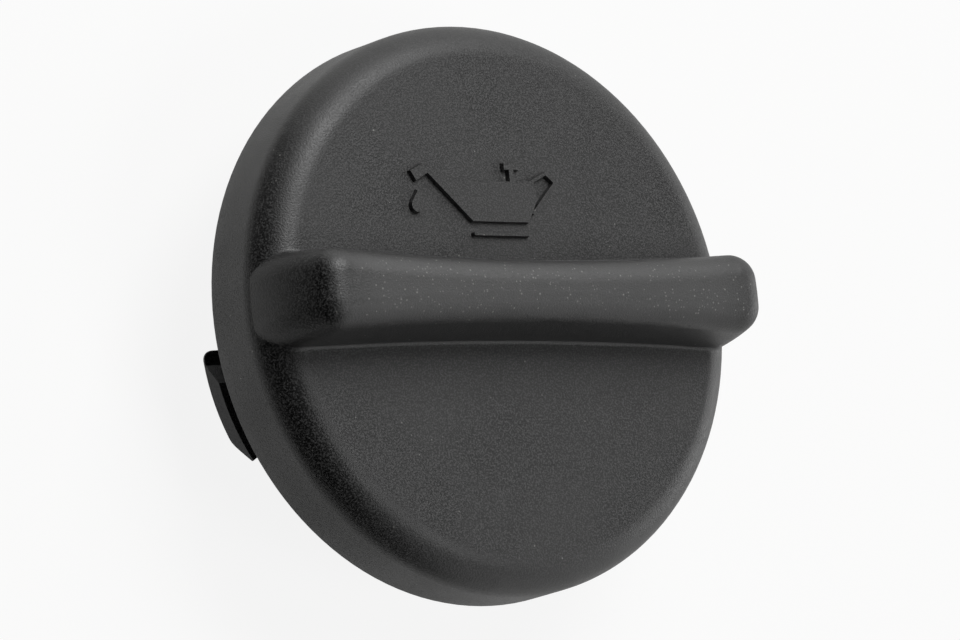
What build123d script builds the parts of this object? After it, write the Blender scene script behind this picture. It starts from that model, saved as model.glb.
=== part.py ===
from build123d import *
import os
from math import cos, radians, sin, tan

# Oil filler cap: a one-piece moulding with a grip bar, a shank and bayonet lugs, and a seal ring.
# Millimetres and degrees. +Z points out of the face, the grip bar lies along X, and the origin is
# on the cap's axis in the sealing plane, where the seal ring meets the rim of the filler neck.

# Cover: disc, rim and skirt
cover_radius = 35.0          # outside of the skirt at its lower edge
skirt_overlap = 5.0          # how far the skirt reaches below the sealing plane
skirt_draft = 2.0            # lean of the skirt's outside and inside
skirt_wall = 2.6
disc_thickness = 3.0
rim_radius = 4.8             # rounding between the skirt and the face
rim_inner_bevel = 2.0        # bevel between the skirt's inside and the disc's underside

# Seal ring
seal_thickness = 3.2
seal_width = 6.8
seal_skirt_gap = 2.3         # free space between the ring and the skirt
seal_lead_in = 1.0           # chamfer that helps the ring over the shank
seal_clearance = 0.1         # between the ring and the floor of its groove

# Shank
shank_wall = 2.6
shank_tip = 0.9              # shank beyond the lugs' lower faces
shank_lead_in = 0.8          # bevel that guides the shank into the neck
groove_depth = 0.6           # undercut at the shank's root that holds the seal ring
groove_relief = 0.2          # how far the groove runs past the ring

# Bayonet lugs
lug_count = 2
lug_reach = 4.5              # how far a lug stands out of the shank
lug_thickness = 2.2
lug_drop = 18.7              # from the sealing plane to the lugs' lower faces
lug_start = 182.8            # angle of the first lug's leading end, from +X
lug_span = 29.7
lug_corner_radius = 1.2      # leading outer corner, seen from above
lug_nose = 0.3               # thickness left at both ends
lug_nose_length = 1.8        # thin nose at the leading end
lug_ramp_length = 2.5        # sloped lead-in behind the nose
lug_tail_length = 2.9        # slope under the trailing end
lug_tail_radius = 2.5        # rounding where that slope starts

# Grip bar
bar_height = 9.0             # above the face
bar_foot_end_width = 11.6    # across the foot at the ends
bar_foot_waist_width = 9.5   # across the foot in the middle
bar_top_end_width = 10.3     # across the top at the ends, before the edges are rounded
bar_top_waist_width = 6.6    # across the top in the middle, before the edges are rounded
bar_end_setback = 0.15       # end faces start this far inside the skirt's wall
bar_end_lean = 3.0           # how far the end faces bow in on their way up
bar_corner_radius = 3.4      # rounding of the four corners, seen from above
bar_corner_share = 0.4       # most of the top's end width that it may take
bar_edge_radius = 3.4        # rounding all round the top
bar_edge_share = 0.55        # most of the top's waist width that it may take
bar_foot_radius = 0.5        # hollow fillet where the bar meets the face
bar_core_width = 3.6         # slot that hollows the bar from inside the shank
bar_core_inset = 1.5         # from the shank's bore to the slot's ends
bar_core_draft = 1.0
bar_roof = 3.0               # left above the slot

# Heights from the sealing plane
underside_z = seal_thickness
face_z = underside_z + disc_thickness
bar_top_z = face_z + bar_height
rim_start_z = face_z - rim_radius
skirt_z = -skirt_overlap
lug_bottom_z = -lug_drop
lug_top_z = lug_bottom_z + lug_thickness
shank_end_z = lug_bottom_z - shank_tip


def skirt_radius_at(z):
    """Outside radius of the drafted skirt at a height."""
    return cover_radius - tan(radians(skirt_draft)) * (z - skirt_z)


# Radii from the skirt inwards
seal_outer_radius = skirt_radius_at(underside_z) - skirt_wall - seal_skirt_gap
seal_inner_radius = seal_outer_radius - seal_width
groove_radius = seal_inner_radius - seal_clearance
shank_radius = groove_radius + groove_depth
shank_bore_radius = shank_radius - shank_wall
lug_radius = shank_radius + lug_reach


def turned(points):
    """Solid of revolution about Z from a closed outline of (radius, height) points."""
    outline = Polyline(*[(r, 0, z) for r, z in points], close=True)
    return revolve(make_face(outline), Axis.Z)


def circles_at(solid, z):
    """Circular edges of a solid that lie in one horizontal plane."""
    return solid.edges().filter_by(GeomType.CIRCLE).filter_by_position(Axis.Z, z - 0.01, z + 0.01)


def cover_form():
    """Outside of the disc, rim and skirt, still solid."""
    form = turned([
        (0, skirt_z),
        (cover_radius, skirt_z),
        (skirt_radius_at(face_z), face_z),
        (0, face_z),
    ])
    return fillet(circles_at(form, face_z), rim_radius)


def cover_hollow():
    """Space inside the skirt, below the disc, bevelled as far as the seal ring leaves room."""
    below_z = skirt_z - skirt_wall
    hollow = turned([
        (0, below_z),
        (skirt_radius_at(below_z) - skirt_wall, below_z),
        (skirt_radius_at(underside_z) - skirt_wall, underside_z),
        (0, underside_z),
    ])
    return chamfer(circles_at(hollow, underside_z), min(rim_inner_bevel, seal_skirt_gap))


def bar_section(z, end_width, waist_width):
    """Outline of the bar at a height: straight ends, and sides that bow in to the waist."""
    reach = cover_radius
    side = end_width / 2
    waist = waist_width / 2
    return make_face([
        ThreePointArc((-reach, side, z), (0, waist, z), (reach, side, z)),
        Line((reach, side, z), (reach, -side, z)),
        ThreePointArc((reach, -side, z), (0, -waist, z), (-reach, -side, z)),
        Line((-reach, -side, z), (-reach, side, z)),
    ])


def bar_ends():
    """Round form that trims the bar: it carries the skirt's wall up and bows in towards the top."""
    end_radius = skirt_radius_at(rim_start_z) - bar_end_setback
    foot = (end_radius, 0, rim_start_z)
    top = (end_radius - bar_end_lean, 0, bar_top_z)
    along_skirt = (-sin(radians(skirt_draft)), 0, cos(radians(skirt_draft)))
    outline = make_face([
        Line((0, 0, rim_start_z), foot),
        TangentArc(foot, top, tangent=along_skirt),
        Line(top, (0, 0, bar_top_z)),
        Line((0, 0, bar_top_z), (0, 0, rim_start_z)),
    ])
    return revolve(outline, Axis.Z)


def bar_form():
    """Grip bar: leaning, waisted flanks between two bowed ends, with rounded edges."""
    below_face = rim_radius / bar_height
    root_end_width = bar_foot_end_width + below_face * (bar_foot_end_width - bar_top_end_width)
    root_waist_width = bar_foot_waist_width + below_face * (bar_foot_waist_width - bar_top_waist_width)
    slab = loft(
        [
            bar_section(rim_start_z, root_end_width, root_waist_width),
            bar_section(bar_top_z, bar_top_end_width, bar_top_waist_width),
        ],
        ruled=True,
    )
    bar = slab & bar_ends()
    corners = [edge for edge in bar.edges() if edge.bounding_box().size.Z > bar_height]
    bar = fillet(corners, min(bar_corner_radius, bar_corner_share * bar_top_end_width))
    top_edges = bar.faces().sort_by(Axis.Z)[-1].edges()
    return fillet(top_edges, min(bar_edge_radius, bar_edge_share * bar_top_waist_width))


def bar_core():
    """Slot under the bar, drawn out through the shank."""
    length = 2 * (shank_bore_radius - bar_core_inset)
    height = bar_top_z - bar_roof - underside_z
    mouth = Plane.XY.offset(underside_z) * SlotOverall(length, bar_core_width)
    return extrude(mouth, height, taper=bar_core_draft)


def shank():
    """Hollow shank with the undercut that holds the seal ring."""
    groove_z = -groove_relief
    return turned([
        (shank_bore_radius, shank_end_z),
        (shank_radius - shank_lead_in, shank_end_z),
        (shank_radius, shank_end_z + shank_lead_in),
        (shank_radius, groove_z),
        (groove_radius, groove_z),
        (groove_radius, underside_z),
        (shank_bore_radius, underside_z),
    ])


def polar(radius, angle, z=0.0):
    """Point at a radius and an angle from +X."""
    return (radius * cos(radians(angle)), radius * sin(radians(angle)), z)


def arc(radius, start, end):
    """Arc about the axis between two angles."""
    return ThreePointArc(polar(radius, start), polar(radius, (start + end) / 2), polar(radius, end))


def side_wedge(points):
    """Wedge across a lug from its side view: (distance along, height) points, drawn on the X axis."""
    outline = Polyline(*[(0, along, z) for along, z in points], close=True)
    return extrude(make_face(outline), 2 * lug_radius, dir=(1, 0, 0))


def lug():
    """One bayonet lug, with its leading end on the X axis."""
    root_radius = shank_radius - shank_wall / 2
    outline = [
        Line(polar(root_radius, 0), polar(lug_radius, 0)),
        arc(lug_radius, 0, lug_span),
        Line(polar(lug_radius, lug_span), polar(root_radius, lug_span)),
        arc(root_radius, lug_span, 0),
    ]
    block = extrude(Plane.XY.offset(lug_bottom_z) * make_face(outline), lug_thickness)
    corner = block.edges().filter_by(Axis.Z).sort_by_distance(polar(lug_radius, 0, lug_bottom_z))[0]
    block = fillet(corner, lug_corner_radius)
    nose_z = lug_bottom_z + lug_nose
    block -= side_wedge([
        (0, nose_z),
        (lug_nose_length, nose_z),
        (lug_nose_length + lug_ramp_length, lug_top_z),
        (0, lug_top_z),
    ])
    slope = side_wedge([
        (0, lug_bottom_z),
        (-lug_tail_length, lug_bottom_z),
        (0, lug_top_z - lug_nose),
    ])
    tail = Rot(0, 0, lug_span)
    block -= tail * slope
    slope_start = tail * Pos(lug_radius - lug_reach / 2, -lug_tail_length, lug_bottom_z)
    bend = block.edges().sort_by_distance(slope_start.position)[0]
    return fillet(bend, lug_tail_radius)


def cap_body():
    """The whole moulding."""
    cover = cover_form()
    bar = bar_form()
    body = cover + bar
    body = fillet(new_edges(cover, bar, combined=body), bar_foot_radius)
    body -= cover_hollow()
    body -= bar_core()
    body += shank()
    for index in range(lug_count):
        body += Rot(0, 0, lug_start + index * 360 / lug_count) * lug()
    return body


def seal_ring():
    """Flat elastomer ring that sits in the shank's groove, against the disc's underside."""
    return turned([
        (seal_inner_radius, underside_z),
        (seal_inner_radius, seal_lead_in),
        (seal_inner_radius + seal_lead_in, 0),
        (seal_outer_radius, 0),
        (seal_outer_radius, underside_z),
    ])


os.makedirs("parts", exist_ok=True)
export_step(cap_body(), "parts/cap_body.step")
export_step(seal_ring(), "parts/seal_ring.step")
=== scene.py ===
from math import cos, pi, radians, sin

import bmesh
import bpy
from mathutils import Matrix, Vector


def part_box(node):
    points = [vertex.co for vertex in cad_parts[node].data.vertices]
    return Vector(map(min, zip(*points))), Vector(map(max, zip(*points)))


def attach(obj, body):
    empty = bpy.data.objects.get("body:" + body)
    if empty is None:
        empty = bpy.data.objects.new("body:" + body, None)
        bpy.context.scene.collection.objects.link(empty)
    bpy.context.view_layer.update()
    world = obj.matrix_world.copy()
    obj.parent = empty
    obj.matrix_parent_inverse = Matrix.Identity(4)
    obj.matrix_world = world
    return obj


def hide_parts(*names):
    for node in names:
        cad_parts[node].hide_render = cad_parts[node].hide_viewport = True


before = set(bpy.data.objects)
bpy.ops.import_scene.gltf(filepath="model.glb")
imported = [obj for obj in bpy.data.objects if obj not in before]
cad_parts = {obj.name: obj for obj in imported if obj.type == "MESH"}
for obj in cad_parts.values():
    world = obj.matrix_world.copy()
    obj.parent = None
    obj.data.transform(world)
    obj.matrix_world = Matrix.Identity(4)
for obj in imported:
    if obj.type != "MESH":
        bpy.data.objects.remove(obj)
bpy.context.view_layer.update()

# Oil filler cap in the CAD part's own frame: +Z out of the face, the grip bar along X.
# The cap's own sizes are in mm, and MM turns them to Blender's metres. Angles are in degrees.
MM = 0.001

# Places that the CAD solids give
cap_low, cap_high = (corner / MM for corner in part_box("cap_body"))
seal_low, seal_high = (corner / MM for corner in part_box("seal_ring"))
COVER_RADIUS = cap_high.x
SHANK_END_Z = cap_low.z
SEAL_OUTER_RADIUS = seal_high.x
SEAL_LIP_Z = seal_low.z
UNDERSIDE_Z = seal_high.z

# Sizes repeated from the CAD part
FACE_Z = 6.2
SKIRT_END_Z = -5.0
SKIRT_WALL = 2.6
SHANK_BORE_RADIUS = 20.9
BAR_SLOT_INSET = 1.5
SEAL_WIDTH = 6.8
SEAL_LEAD_IN = 1.0

# Rounding of the sharp edges: an edge lies at a place when it is this near to it
NEAR = 0.1
WELD_GAP = 0.001
FLAT_ANGLE = 0.2
SHARP_ANGLE = 30
CREASE_ANGLE = 25
ROUNDING_STEPS = 3

# Raised sign: a plain oil can with a drop and a line under it, its can centred on SIGN_CENTRE
SIGN_CENTRE = (-0.3, 12.4)
SIGN_HEIGHT = 0.6
SIGN_LEAN = 0.12
SIGN_ROOT = 0.3
SIGN_STROKE = 0.6

# Studio, in metres
FLOOR_HALF_WIDTH = 3.0
LAMP_DISTANCE = 0.8
VELVET_REACH = 1.2
VELVET_GROUND_START = 0.068
VELVET_GROUND_GAP = 0.0004
VELVET_LIFT_STEP = 5
CURTAIN_TURNS = range(116, 277, 8)
CANOPY_TURNS = range(276, 477, 8)
CANOPY_LOWEST_LIFT = 30

# Camera: the framing and the image's width in pixels, the rest in metres
FRAMING_SHIFT_X = 24.1
FRAMING_SHIFT_Y = -0.2
IMAGE_WIDTH = 960
EYE_DISTANCE = 0.49
LOOKED_AT = Vector((0, 0, -5 * MM))


def linear(hex_colour):
    """Linear RGBA of an sRGB hex colour."""
    values = [int(hex_colour[i:i + 2], 16) / 255 for i in (1, 3, 5)]
    return [v / 12.92 if v <= 0.04045 else ((v + 0.055) / 1.055) ** 2.4 for v in values] + [1.0]


def add(tree, kind, inputs=None, **settings):
    """Add a node: settings are its properties, inputs are values or the sockets that feed it."""
    node = tree.nodes.new(kind)
    for name, value in settings.items():
        setattr(node, name, value)
    for name, value in (inputs or {}).items():
        if isinstance(value, bpy.types.NodeSocket):
            tree.links.new(value, node.inputs[name])
        else:
            node.inputs[name].default_value = value
    return node


def new_material(name):
    """An empty material and its node tree."""
    material = bpy.data.materials.new(name)
    material.use_nodes = True
    material.node_tree.nodes.clear()
    return material, material.node_tree


def new_mesh(name, bm):
    """A mesh made from a finished bmesh, which is freed."""
    mesh = bpy.data.meshes.new(name)
    bm.to_mesh(mesh)
    bm.free()
    return mesh


def new_piece(name, mesh, material):
    """An object for a mesh, in the scene, with its material."""
    piece = bpy.data.objects.new(name, mesh)
    bpy.context.scene.collection.objects.link(piece)
    mesh.materials.clear()
    mesh.materials.append(material)
    return piece


def place_in_mm(tree):
    """A point's place on the cap, in mm."""
    place = add(tree, "ShaderNodeTexCoord")
    scaled = add(tree, "ShaderNodeVectorMath", {
        0: place.outputs["Object"], "Scale": 1 / MM}, operation="SCALE")
    return scaled.outputs["Vector"]


def paler_grip_top(tree, where):
    """How much paler the surface is made: where the grip faces up, fading towards its ends."""
    pale_above = FACE_Z + 4.0
    pale_ends_at = 32.0
    fully_pale_within = 23.0
    place = add(tree, "ShaderNodeTexCoord")
    facing = add(tree, "ShaderNodeSeparateXYZ", {"Vector": place.outputs["Normal"]})
    axes = add(tree, "ShaderNodeSeparateXYZ", {"Vector": where})
    on_grip = add(tree, "ShaderNodeMath", {
        0: axes.outputs["Z"], 1: pale_above}, operation="GREATER_THAN")
    from_middle = add(tree, "ShaderNodeMath", {0: axes.outputs["X"]}, operation="ABSOLUTE")
    towards_middle = add(tree, "ShaderNodeMapRange", {
        "Value": from_middle.outputs["Value"], "From Min": pale_ends_at, "From Max": fully_pale_within,
        "To Min": 0.05, "To Max": 1.0}, interpolation_type="SMOOTHSTEP")
    grip_top = add(tree, "ShaderNodeMath", {
        0: on_grip.outputs["Value"], 1: towards_middle.outputs["Result"]}, operation="MULTIPLY")
    # Paler only where the surface faces up, on the top of the grip away from its ends
    paler_top = add(tree, "ShaderNodeMapRange", {
        "Value": facing.outputs["Z"], "From Min": 0.6, "From Max": 0.95,
        "To Max": grip_top.outputs["Value"]}, interpolation_type="SMOOTHSTEP")
    return paler_top.outputs["Result"]


def dust_specks(tree, where, paler_top, flow):
    """Dust: a speck in some cells of a scatter, thick on the grip's paler top and thin elsewhere."""
    dust_spacing = 0.4
    dust = add(tree, "ShaderNodeTexVoronoi", {"Vector": where, "Scale": 1 / dust_spacing})
    cell = add(tree, "ShaderNodeSeparateColor", {"Color": dust.outputs["Color"]})
    cover = add(tree, "ShaderNodeMath", {0: paler_top, 1: flow, 2: 0.01}, operation="MULTIPLY_ADD")
    lies = add(tree, "ShaderNodeMath", {
        0: cell.outputs["Red"], 1: cover.outputs["Value"]}, operation="LESS_THAN")
    size = add(tree, "ShaderNodeMapRange", {
        "Value": cell.outputs["Green"], "To Min": 0.12, "To Max": 0.42})
    speck = add(tree, "ShaderNodeMapRange", {
        "Value": dust.outputs["Distance"], "From Min": size.outputs["Result"], "From Max": 0.0,
        "To Max": 0.65})
    specks = add(tree, "ShaderNodeMath", {
        0: speck.outputs["Result"], 1: lies.outputs["Value"]}, operation="MULTIPLY")
    return specks.outputs["Value"]


def moulded_nylon():
    """Glass-filled nylon, pigmented black and moulded in a spark-eroded tool.

    The tool leaves an even grain of fine pits, so the surface has a broad dull sheen and no clear
    reflections. Its colour is painted shade in the pits and painted light on the crests between them,
    a painted sparkle. The grip is paler where it faces up, fading towards its ends, and dust lies in
    its grain as fine bright specks, with only a few on the face.
    """
    # Pits about 0.1 mm across are too fine for the render, so they are drawn over twice as coarse
    pit_spacing = 0.22
    pit_depth = 0.045
    flow_spacing = 9.0
    material, tree = new_material("moulded_glass_filled_nylon")
    where = place_in_mm(tree)
    grain = add(tree, "ShaderNodeTexNoise", {
        "Vector": where, "Scale": 1 / pit_spacing, "Detail": 1.0, "Roughness": 0.6})
    flow = add(tree, "ShaderNodeTexNoise", {
        "Vector": where, "Scale": 1 / flow_spacing, "Detail": 3.0, "Roughness": 0.55})
    paler_top = paler_grip_top(tree, where)
    dust = dust_specks(tree, where, paler_top, flow.outputs["Fac"])
    pits = add(tree, "ShaderNodeMapRange", {
        "Value": grain.outputs["Fac"], "From Min": 0.46, "From Max": 0.68})
    # Painted shade and light: near black in the pits, grey on the crests between them
    skin = add(tree, "ShaderNodeMix", {
        "Factor": pits.outputs["Result"], "A": linear("#020202"), "B": linear("#3c3c3c")}, data_type="RGBA")
    # Paler on the grip's top where it faces up, fading towards its ends
    grip = add(tree, "ShaderNodeMix", {
        "Factor": paler_top, "A": skin.outputs["Result"], "B": linear("#3c3c3c")}, data_type="RGBA")
    colour = add(tree, "ShaderNodeMix", {
        "Factor": dust, "A": grip.outputs["Result"], "B": linear("#a8a8a4")}, data_type="RGBA")
    between_pits = add(tree, "ShaderNodeMapRange", {
        "Value": flow.outputs["Fac"], "From Min": 0.3, "From Max": 0.7, "To Min": 0.42, "To Max": 0.5})
    roughness = add(tree, "ShaderNodeMath", {
        0: pits.outputs["Result"], 1: 0.2, 2: between_pits.outputs["Result"]}, operation="MULTIPLY_ADD")
    bump = add(tree, "ShaderNodeBump", {
        "Height": grain.outputs["Fac"], "Strength": 1.0, "Distance": pit_depth * MM})
    shader = add(tree, "ShaderNodeBsdfPrincipled", {
        "Base Color": colour.outputs["Result"], "Roughness": roughness.outputs["Value"],
        "Specular IOR Level": 0.74, "Normal": bump.outputs["Normal"], "IOR": 1.53})
    add(tree, "ShaderNodeOutputMaterial", {"Surface": shader.outputs["BSDF"]})
    return material


def nitrile_rubber():
    """Nitrile rubber, compression moulded: a soft black satin with a faint pale bloom."""
    bloom_spacing = 5.0
    skin_spacing = 0.25
    skin_depth = 0.02
    material, tree = new_material("nitrile_rubber")
    where = place_in_mm(tree)
    bloom = add(tree, "ShaderNodeTexNoise", {
        "Vector": where, "Scale": 1 / bloom_spacing, "Detail": 4.0, "Roughness": 0.6})
    skin = add(tree, "ShaderNodeTexNoise", {"Vector": where, "Scale": 1 / skin_spacing, "Detail": 2.0})
    colour = add(tree, "ShaderNodeMix", {
        "Factor": bloom.outputs["Fac"], "A": linear("#121212"), "B": linear("#242423")}, data_type="RGBA")
    roughness = add(tree, "ShaderNodeMapRange", {
        "Value": bloom.outputs["Fac"], "From Min": 0.3, "From Max": 0.7, "To Min": 0.5, "To Max": 0.66})
    bump = add(tree, "ShaderNodeBump", {
        "Height": skin.outputs["Fac"], "Strength": 0.25, "Distance": skin_depth * MM})
    shader = add(tree, "ShaderNodeBsdfPrincipled", {
        "Base Color": colour.outputs["Result"], "Roughness": roughness.outputs["Result"],
        "Normal": bump.outputs["Normal"], "IOR": 1.52})
    add(tree, "ShaderNodeOutputMaterial", {"Surface": shader.outputs["BSDF"]})
    return material


def corner_offset(before, at, after, reach):
    """A corner of a line moved to its left by reach, on the mitre."""
    first = (at - before).normalized() if before else (after - at).normalized()
    second = (after - at).normalized() if after else first
    side = Vector((-first.y, first.x)) + Vector((-second.y, second.x))
    side.normalize()
    return at + side * (reach / side.dot(Vector((-second.y, second.x))))


def stroke_outline(line):
    """Closed outline of a stroke along a line, with round ends, counter-clockwise."""
    points = [Vector(p) for p in line]
    neighbours = list(zip([None] + points[:-1], points, points[1:] + [None]))
    right = [corner_offset(before, at, after, -SIGN_STROKE / 2) for before, at, after in neighbours]
    left = [corner_offset(before, at, after, SIGN_STROKE / 2) for before, at, after in neighbours]
    turns = [Matrix.Rotation(pi * i / 8, 2) for i in range(1, 8)]
    far = [points[-1] + turn @ (right[-1] - points[-1]) for turn in turns]
    near = [points[0] + turn @ (left[0] - points[0]) for turn in turns]
    return right + far + left[::-1] + near


def drop_outline():
    """Closed outline of the drop, a tip over a round end, counter-clockwise."""
    tip = (-11.9, 1.0)
    middle_x = -12.1
    middle_y = -1.0
    radius = 0.95
    angles = [radians(a) for a in range(300, 59, -20)]
    return [tip] + [(middle_x + radius * sin(a), middle_y + radius * cos(a)) for a in angles]


def raise_form(bm, outline):
    """Add one raised form of the sign, rooted in the face and leaning in towards its top."""
    points = [Vector(p) + Vector(SIGN_CENTRE) for p in outline]
    corners = list(zip(points[-1:] + points[:-1], points, points[1:] + points[:1]))
    rings = []
    for z, inset in ((FACE_Z - SIGN_ROOT, 0), (FACE_Z, 0), (FACE_Z + SIGN_HEIGHT, SIGN_LEAN)):
        level = [corner_offset(before, at, after, inset) for before, at, after in corners]
        rings.append([bm.verts.new((p.x * MM, p.y * MM, z * MM)) for p in level])
    faces = [bm.faces.new(rings[0]), bm.faces.new(rings[-1])]
    for low, high in zip(rings, rings[1:]):
        for i in range(len(low)):
            faces.append(bm.faces.new((low[i - 1], low[i], high[i], high[i - 1])))
    bmesh.ops.recalc_face_normals(bm, faces=faces)


def sign_forms():
    """Raised forms of the sign, as closed solids that reach down into the face."""
    can_with_spout = [
        (-4.3, -2.9), (4.1, -2.9), (5.7, 0.0), (5.4, 2.4), (-5.9, 2.1),
        (-10.7, 4.2), (-12.8, 3.2), (-12.0, 1.8), (-10.2, 2.8)]
    lid = [(1.7, 2.0), (2.6, 2.0), (2.6, 3.5), (3.4, 3.5), (3.4, 4.5), (1.0, 4.5), (1.0, 3.5), (1.7, 3.5)]
    handle = stroke_outline([(5.0, 2.2), (7.3, 3.3), (8.6, 2.2), (4.9, -1.6)])
    line = stroke_outline([(-4.1, -4.3), (3.8, -4.3)])
    bm = bmesh.new()
    for outline in (can_with_spout, lid, handle, line, drop_outline()):
        raise_form(bm, outline)
    return new_mesh("sign_forms", bm)


def softened_copy(node, name, material, roundings):
    """A copy of a CAD piece with some of its sharp edges rounded.

    Each rounding is a radius and a test of an edge's distance from the axis and its height.
    """
    bm = bmesh.new()
    bm.from_mesh(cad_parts[node].data)
    bmesh.ops.remove_doubles(bm, verts=bm.verts, dist=WELD_GAP * MM)
    bmesh.ops.dissolve_limit(bm, verts=bm.verts, edges=bm.edges, angle_limit=radians(FLAT_ANGLE))
    for radius, wanted in roundings:
        edges = []
        for edge in bm.edges:
            if edge.is_manifold and edge.is_convex and edge.calc_face_angle() > radians(SHARP_ANGLE):
                ends = [(v.co.xy.length / MM, v.co.z / MM) for v in edge.verts]
                if all(wanted(reach, height) for reach, height in ends):
                    edges.append(edge)
        bmesh.ops.bevel(
            bm, geom=edges, offset=radius * MM, segments=ROUNDING_STEPS, profile=0.5, affect="EDGES")
    mesh = new_mesh(name, bm)
    mesh.attributes.remove(mesh.attributes["custom_normal"])
    return new_piece(name, mesh, material)


def smooth(piece):
    """Shade a piece smooth over its curves and keep its flats flat."""
    piece.data.shade_smooth()
    piece.data.set_sharp_from_angle(angle=radians(CREASE_ANGLE))
    weighted = piece.modifiers.new("flats_stay_flat", "WEIGHTED_NORMAL")
    weighted.keep_sharp = True


def on_skirt_edge(reach, height):
    """Outer edge of the skirt's end."""
    return reach > COVER_RADIUS - NEAR and height < SKIRT_END_Z + NEAR


def on_skirt_inner_edge(reach, height):
    """Inner edge of the skirt's end."""
    return abs(reach - COVER_RADIUS + SKIRT_WALL) < NEAR and height < SKIRT_END_Z + NEAR


def on_bore_edge(reach, height):
    """Inner edge of the shank's end."""
    return reach < SHANK_BORE_RADIUS + NEAR and height < SHANK_END_Z + NEAR


def on_slot_edge(reach, height):
    """Mouth of the slot under the grip bar."""
    return reach < SHANK_BORE_RADIUS - BAR_SLOT_INSET + NEAR and abs(height - UNDERSIDE_Z) < NEAR


def on_seal_lip(reach, height):
    """Outer edge of the seal's lower face."""
    return reach > SEAL_OUTER_RADIUS - NEAR and height < SEAL_LIP_Z + NEAR


def on_seal_lead_in(reach, height):
    """Edges of the seal's lead-in chamfer."""
    inner_radius = SEAL_OUTER_RADIUS - SEAL_WIDTH
    return reach < inner_radius + SEAL_LEAD_IN + NEAR and height < SEAL_LIP_Z + SEAL_LEAD_IN + NEAR


def join_sign(cap, material):
    """Make the sign's raised forms one solid with the cap."""
    sign = bpy.data.objects.new("sign_forms", sign_forms())
    bpy.context.scene.collection.objects.link(sign)
    joined = cap.modifiers.new("joined", "BOOLEAN")
    joined.object = sign
    joined.operation = "UNION"
    joined.solver = "EXACT"
    joined.use_self = True
    bpy.context.view_layer.update()
    mesh = bpy.data.meshes.new_from_object(cap.evaluated_get(bpy.context.evaluated_depsgraph_get()))
    cap.modifiers.clear()
    cap.data = mesh
    mesh.materials.clear()
    mesh.materials.append(material)
    bpy.data.objects.remove(sign)


def cap_moulding(material):
    """The CAD moulding with softened lower edges and the sign raised on its face."""
    cap = softened_copy("cap_body", "cap_moulding", material, (
        (0.45, on_skirt_edge),
        (0.25, on_skirt_inner_edge),
        (0.3, on_bore_edge),
        (0.3, on_slot_edge),
    ))
    join_sign(cap, material)
    smooth(cap)
    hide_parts("cap_body")
    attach(cap, "root")


def seal(material):
    """The CAD ring with the softened edges of moulded rubber."""
    ring = softened_copy("seal_ring", "seal", material, (
        (0.4, on_seal_lip),
        (0.25, on_seal_lead_in),
    ))
    smooth(ring)
    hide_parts("seal_ring")
    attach(ring, "root")


def white_paper():
    """White seamless paper, rolled and uncoated: matt, lit by the lamps, and white as a background.

    What is seen of it is mostly plain white, and the rest is lit paper, which keeps the cap's shadow.
    """
    white_share = 0.88
    white_share_in_gloss = 0.45
    material, tree = new_material("white_seamless_paper")
    rays = add(tree, "ShaderNodeLightPath")
    seen = add(tree, "ShaderNodeMath", {
        0: rays.outputs["Is Camera Ray"], 1: rays.outputs["Is Transmission Ray"]}, operation="MAXIMUM")
    share = add(tree, "ShaderNodeMath", {
        0: rays.outputs["Is Glossy Ray"], 1: white_share_in_gloss, 2: seen.outputs["Value"]},
        operation="MULTIPLY_ADD")
    white = add(tree, "ShaderNodeMath", {0: share.outputs["Value"], 1: white_share}, operation="MINIMUM")
    paper = add(tree, "ShaderNodeBsdfDiffuse", {"Color": linear("#f2f2f0")})
    glow = add(tree, "ShaderNodeEmission", {"Color": linear("#ffffff"), "Strength": 1.0})
    mix = add(tree, "ShaderNodeMixShader", {
        0: white.outputs["Value"], 1: paper.outputs["BSDF"], 2: glow.outputs["Emission"]})
    add(tree, "ShaderNodeOutputMaterial", {"Surface": mix.outputs["Shader"]})
    return material


def black_velvet():
    """Black velvet, woven with a deep pile that swallows light: a plain black in reflections."""
    material, tree = new_material("black_velvet")
    cloth = add(tree, "ShaderNodeBsdfDiffuse", {"Color": linear("#0c0c0c")})
    add(tree, "ShaderNodeOutputMaterial", {"Surface": cloth.outputs["BSDF"]})
    return material


def paper_floor():
    """Sheet of white paper that the shank stands on."""
    bm = bmesh.new()
    bmesh.ops.create_grid(bm, x_segments=1, y_segments=1, size=FLOOR_HALF_WIDTH)
    bmesh.ops.translate(bm, verts=bm.verts, vec=(0, 0, SHANK_END_Z * MM))
    return new_piece("floor", new_mesh("floor", bm), white_paper())


def velvet_dome(lowest_lift):
    """Reach and height of the velvet at each step of its lift, from the lowest one up."""
    lifts = [radians(lift) for lift in range(lowest_lift, 90, VELVET_LIFT_STEP)]
    return [(VELVET_REACH * cos(lift), VELVET_REACH * sin(lift)) for lift in lifts]


def hang_velvet(bm, outline, turns):
    """Add velvet that follows an outline of reach and height, swept through the turns."""
    angles = [radians(turn) for turn in turns]
    rows = []
    for reach, height in outline:
        rows.append([bm.verts.new((reach * cos(a), reach * sin(a), height)) for a in angles])
    for low, high in zip(rows, rows[1:]):
        for i in range(1, len(low)):
            bm.faces.new((low[i - 1], low[i], high[i], high[i - 1]))


def dark_surroundings():
    """Velvet that only reflections see: a curtain on the camera's side and a canopy over the rest.

    The curtain, which also lies on the floor, shapes the cap's dark edges.
    """
    ground_z = SHANK_END_Z * MM + VELVET_GROUND_GAP
    ground = [(VELVET_GROUND_START, ground_z), (VELVET_REACH, ground_z)]
    bm = bmesh.new()
    hang_velvet(bm, ground + velvet_dome(0), CURTAIN_TURNS)
    hang_velvet(bm, velvet_dome(CANOPY_LOWEST_LIFT), CANOPY_TURNS)
    velvet = new_piece("velvet", new_mesh("velvet", bm), black_velvet())
    velvet.visible_camera = False
    velvet.visible_diffuse = False
    velvet.visible_shadow = False
    return velvet


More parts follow.
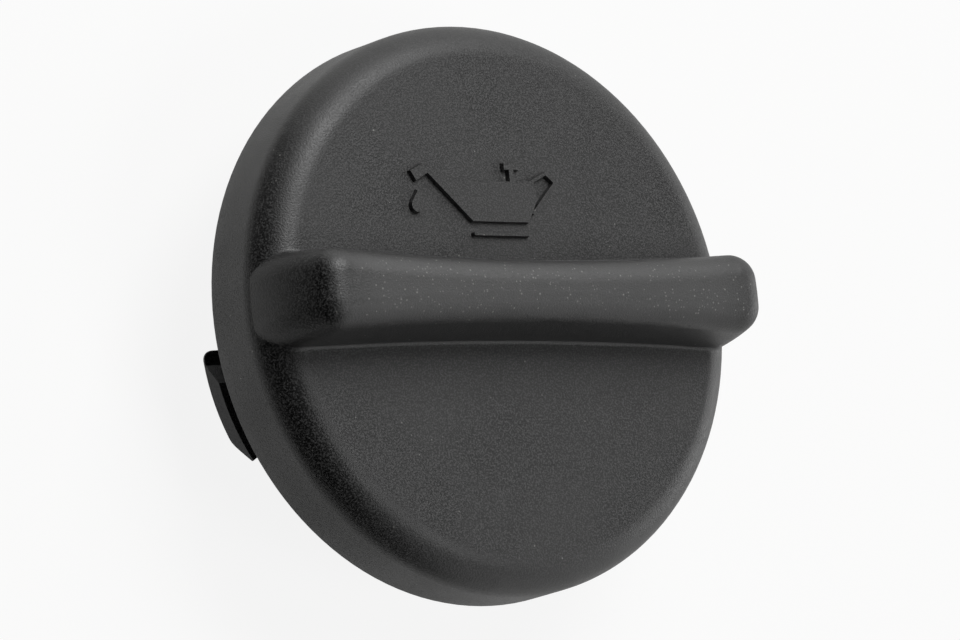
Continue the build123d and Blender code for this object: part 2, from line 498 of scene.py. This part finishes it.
def softbox(name, turn, lift, size, energy):
    """A square softbox that faces the cap from a turn and a lift."""
    lamp = bpy.data.lights.new(name, "AREA")
    lamp.shape = "SQUARE"
    lamp.size = size
    lamp.energy = energy
    box = bpy.data.objects.new(name, lamp)
    level = cos(radians(lift))
    towards = Vector((level * cos(radians(turn)), level * sin(radians(turn)), sin(radians(lift))))
    box.location = towards * LAMP_DISTANCE
    box.rotation_mode = "QUATERNION"
    box.rotation_quaternion = towards.to_track_quat("Z", "Y")
    bpy.context.scene.collection.objects.link(box)


def white_surroundings():
    """A world that is white to look at and in reflections, and lights the cap only a little."""
    world = bpy.data.worlds.new("studio")
    world.use_nodes = True
    tree = world.node_tree
    tree.nodes.clear()
    rays = add(tree, "ShaderNodeLightPath")
    seen_or_glossy = add(tree, "ShaderNodeMath", {
        0: rays.outputs["Is Camera Ray"], 1: rays.outputs["Is Glossy Ray"]}, operation="MAXIMUM")
    seen = add(tree, "ShaderNodeMath", {
        0: seen_or_glossy.outputs["Value"], 1: rays.outputs["Is Transmission Ray"]}, operation="MAXIMUM")
    light = add(tree, "ShaderNodeBackground", {"Color": linear("#ffffff"), "Strength": 0.03})
    white = add(tree, "ShaderNodeBackground", {"Color": linear("#ffffff"), "Strength": 1.0})
    mix = add(tree, "ShaderNodeMixShader", {
        0: seen.outputs["Value"], 1: light.outputs["Background"], 2: white.outputs["Background"]})
    add(tree, "ShaderNodeOutputWorld", {"Surface": mix.outputs["Shader"]})
    bpy.context.scene.world = world


def stage():
    """Floor, velvet, lamps and world.

    The key lamp stands on the sign's side, the fill lamp opposite it, and the edge lamp low on the right.
    """
    floor = paper_floor()
    velvet = dark_surroundings()
    softbox("key_softbox", turn=82, lift=54, size=0.48, energy=4.7)
    softbox("fill_softbox", turn=298, lift=63, size=0.3, energy=1.3)
    softbox("edge_softbox", turn=356, lift=14, size=0.36, energy=1.1)
    white_surroundings()


def camera():
    """The photograph's view: from the left and above, turned so that the sign stands upright."""
    right = Vector((0.8102, -0.1067, 0.5764))
    up = Vector((-0.0057, 0.9820, 0.1897))
    back = right.cross(up).normalized()
    up = back.cross(right).normalized()
    right = up.cross(back).normalized()
    data = bpy.data.cameras.new("camera")
    data.sensor_width = 36.0
    data.lens = 151.7
    data.shift_x = FRAMING_SHIFT_X / IMAGE_WIDTH
    data.shift_y = FRAMING_SHIFT_Y / IMAGE_WIDTH
    data.clip_start = 0.01
    data.clip_end = 20.0
    eye = bpy.data.objects.new("camera", data)
    turn = Matrix((right, up, back)).transposed().to_4x4()
    eye.matrix_world = Matrix.Translation(LOOKED_AT + back * EYE_DISTANCE) @ turn
    bpy.context.scene.collection.objects.link(eye)
    bpy.context.scene.camera = eye


cap_moulding(moulded_nylon())
seal(nitrile_rubber())
stage()
camera()
bpy.context.scene.view_settings.view_transform = "Standard"
